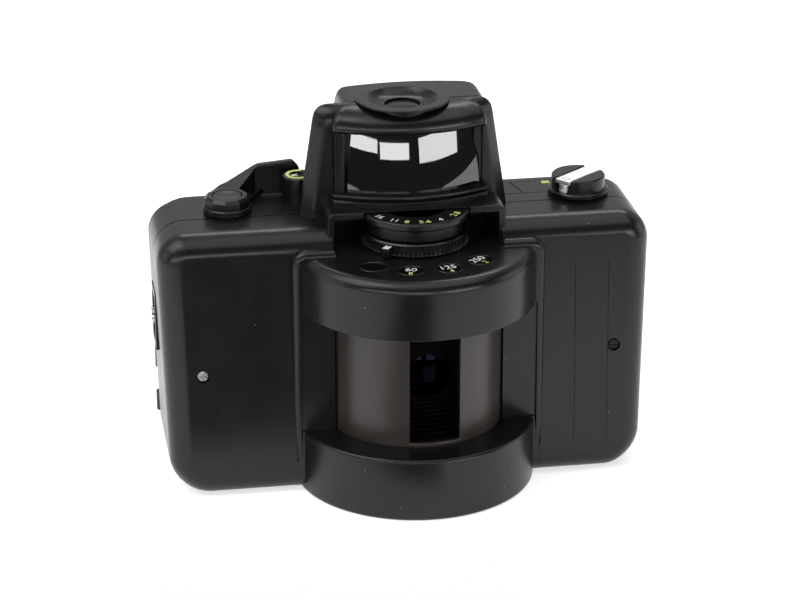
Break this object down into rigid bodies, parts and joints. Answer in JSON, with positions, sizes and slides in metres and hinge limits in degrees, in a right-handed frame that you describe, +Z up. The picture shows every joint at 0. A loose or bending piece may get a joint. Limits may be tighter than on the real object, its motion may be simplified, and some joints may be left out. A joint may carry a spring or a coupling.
{
  "type": "panoramic camera",
  "caption": "Swing-lens panoramic film camera with a turning lens drum, control rings, finder hump, winding lever, rewind crank and hinged back.",
  "frame": {"origin": "on the lens drum's axis, at the mouth of the tripod socket in the base plane", "axes": "+X to the picture's right across the front, +Y to the back of the camera, +Z up along the drum's axis"},
  "size_m": [0.1468, 0.0698, 0.1143],
  "materials": {
    "black_body": "moulded satin black",
    "gloss_black": "semi-gloss black",
    "dull_black": "dull black",
    "black_metal": "blackened metal",
    "drum_paint": "satin brown-black",
    "plain_steel": "turned",
    "bright_chrome": "polished",
    "chassis_alloy": "passivated",
    "bush_brass": "turned",
    "clear_glass": "clear",
    "black_rubber": "soft black",
    "dial_white": "printed"
  },
  "bodies": {
    "body": {"front_shell": "black_body", "rear_shell": "black_body", "base_plate": "black_metal", "tripod_bush": "plain_steel", "base_screws": "plain_steel", "front_screws": "plain_steel", "strap_lugs": "bright_chrome", "lower_chassis": "chassis_alloy", "upper_chassis": "chassis_alloy", "drum_bushes": "bush_brass", "film_gate": "black_metal", "finder_window": "clear_glass", "finder_lenses": "clear_glass", "finder_tunnel": "dull_black", "eyepiece_ring": "black_rubber", "level_bezel": "black_body", "level_vial": "clear_glass", "speed_marks": "dull_black", "counter_turret": "gloss_black", "counter_window": "clear_glass", "top_bushes": "bush_brass", "door_hinge_pin": "plain_steel", "light_seals": "black_rubber", "release_spring": "plain_steel", "lever_spring": "plain_steel"},
    "drum": {"lens_drum": "drum_paint", "drum_pivots": "plain_steel", "drum_gear": "bush_brass", "drum_mainspring": "plain_steel", "window_hood": "dull_black", "lens_barrel": "black_metal", "lens_glass": "clear_glass", "slit_frame": "black_metal"},
    "slit_left": {"slit_blade_left": "black_metal"},
    "slit_right": {"slit_blade_right": "black_metal"},
    "stop_left": {"diaphragm_left": "black_metal"},
    "stop_right": {"diaphragm_right": "black_metal"},
    "governor": {"governor_wheel": "bush_brass"},
    "speed": {"speed_ring": "gloss_black"},
    "aperture": {"aperture_ring": "gloss_black"},
    "lever": {"advance_lever": "gloss_black", "lever_hub": "gloss_black", "lever_shaft": "plain_steel", "button_spring": "plain_steel"},
    "button": {"shutter_button": "gloss_black"},
    "spool": {"take_up_spool": "dull_black"},
    "sprocket": {"sprocket_roller": "plain_steel"},
    "counter": {"counter_dial": "dial_white"},
    "rewind_lift": {"rewind_sleeve": "plain_steel"},
    "rewind": {"rewind_knob": "gloss_black", "rewind_fork": "plain_steel"},
    "crank": {"rewind_crank": "bright_chrome"},
    "grip": {"crank_grip": "bright_chrome"},
    "roller_left": {"guide_roller_left": "plain_steel"},
    "roller_right": {"guide_roller_right": "plain_steel"},
    "door": {"back_door": "black_body", "pressure_plate": "black_metal"},
    "latch": {"door_latch": "gloss_black"},
    "release": {"rewind_button": "plain_steel"}
  },
  "joints": [
    {"name": "drum_swing", "type": "hinge", "parent": "body", "child": "drum", "pos_m": [0, 0, 0.0378], "axis": [0, 0, 1], "range_deg": [-75, 75]},
    {"name": "governor_spin", "type": "hinge", "parent": "body", "child": "governor", "pos_m": [0.02019, -0.01694, 0.012], "axis": [0, 0, 1], "range_deg": [-370, 370]},
    {"name": "slit_left_slide", "type": "slide", "parent": "drum", "child": "slit_left", "axis": [-0.9973, -0.0732, 0], "range_m": [0, 0.0014]},
    {"name": "slit_right_slide", "type": "slide", "parent": "drum", "child": "slit_right", "axis": [0.9973, 0.0732, 0], "range_m": [0, 0.0014]},
    {"name": "stop_left_slide", "type": "slide", "parent": "drum", "child": "stop_left", "axis": [-0.9973, -0.0732, 0], "range_m": [0, 0.004]},
    {"name": "stop_right_slide", "type": "slide", "parent": "drum", "child": "stop_right", "axis": [0.9973, 0.0732, 0], "range_m": [0, 0.004]},
    {"name": "speed_turn", "type": "hinge", "parent": "body", "child": "speed", "pos_m": [0, 0, 0.076], "axis": [0, 0, 1], "range_deg": [0, 78]},
    {"name": "aperture_turn", "type": "hinge", "parent": "body", "child": "aperture", "pos_m": [0, 0, 0.081], "axis": [0, 0, 1], "range_deg": [0, 100]},
    {"name": "lever_wind", "type": "hinge", "parent": "body", "child": "lever", "pos_m": [-0.053, 0.0162, 0.081], "axis": [0, 0, 1], "range_deg": [0, 130], "stiffness_Nm_per_rad": 0.01, "springref_deg": -17.19},
    {"name": "button_press", "type": "slide", "parent": "body", "child": "button", "axis": [0, 0, -1], "range_m": [0, 0.0012], "stiffness_N_per_m": 300, "springref_m": -0.001, "deforming": ["button_spring"]},
    {"name": "spool_turn", "type": "hinge", "parent": "body", "child": "spool", "pos_m": [-0.053, 0.0162, 0.038], "axis": [0, 0, 1], "continuous": true},
    {"name": "sprocket_turn", "type": "hinge", "parent": "body", "child": "sprocket", "pos_m": [-0.03552, 0.01897, 0.038], "axis": [0, 0, 1], "continuous": true},
    {"name": "counter_turn", "type": "hinge", "parent": "body", "child": "counter", "pos_m": [-0.031, 0.0228, 0.085], "axis": [0, 0, 1], "continuous": true},
    {"name": "rewind_pull", "type": "slide", "parent": "body", "child": "rewind_lift", "axis": [0, 0, 1], "range_m": [0, 0.006]},
    {"name": "rewind_turn", "type": "hinge", "parent": "rewind_lift", "child": "rewind", "pos_m": [0.0523, 0.0162, 0.083], "axis": [0, 0, 1], "continuous": true},
    {"name": "crank_fold", "type": "hinge", "parent": "rewind", "child": "crank", "pos_m": [0.05674, 0.01993, 0.0846], "axis": [-0.6428, 0.766, 0], "range_deg": [0, 165]},
    {"name": "grip_spin", "type": "hinge", "parent": "crank", "child": "grip", "pos_m": [0.0477, 0.01234, 0.0846], "axis": [0, 0, 1], "continuous": true},
    {"name": "roller_left_spin", "type": "hinge", "parent": "body", "child": "roller_left", "pos_m": [-0.02667, 0.01418, 0.038], "axis": [0, 0, 1], "continuous": true},
    {"name": "roller_right_spin", "type": "hinge", "parent": "body", "child": "roller_right", "pos_m": [0.02667, 0.01418, 0.038], "axis": [0, 0, 1], "continuous": true},
    {"name": "door_open", "type": "hinge", "parent": "body", "child": "door", "pos_m": [-0.0724, 0.031, 0.04], "axis": [0, 0, 1], "range_deg": [0, 110]},
    {"name": "latch_slide", "type": "slide", "parent": "body", "child": "latch", "axis": [0, 0, 1], "range_m": [0, 0.003], "stiffness_N_per_m": 150, "springref_m": -0.001},
    {"name": "release_press", "type": "slide", "parent": "body", "child": "release", "axis": [0, 0, 1], "range_m": [0, 0.0015], "stiffness_N_per_m": 200, "springref_m": -0.002, "deforming": ["release_spring"]}
  ],
  "couplings": [
    {"joint": "governor_spin", "follows": "drum_swing", "ratio": -4.8333},
    {"joint": "slit_left_slide", "follows": "speed_turn", "m_per_rad": 0.0010284},
    {"joint": "slit_right_slide", "follows": "speed_turn", "m_per_rad": 0.0010284},
    {"joint": "stop_left_slide", "follows": "aperture_turn", "m_per_rad": 0.0022918},
    {"joint": "stop_right_slide", "follows": "aperture_turn", "m_per_rad": 0.0022918},
    {"joint": "sprocket_turn", "follows": "spool_turn", "ratio": -1.2},
    {"joint": "counter_turn", "follows": "spool_turn", "ratio": -0.03}
  ]
}
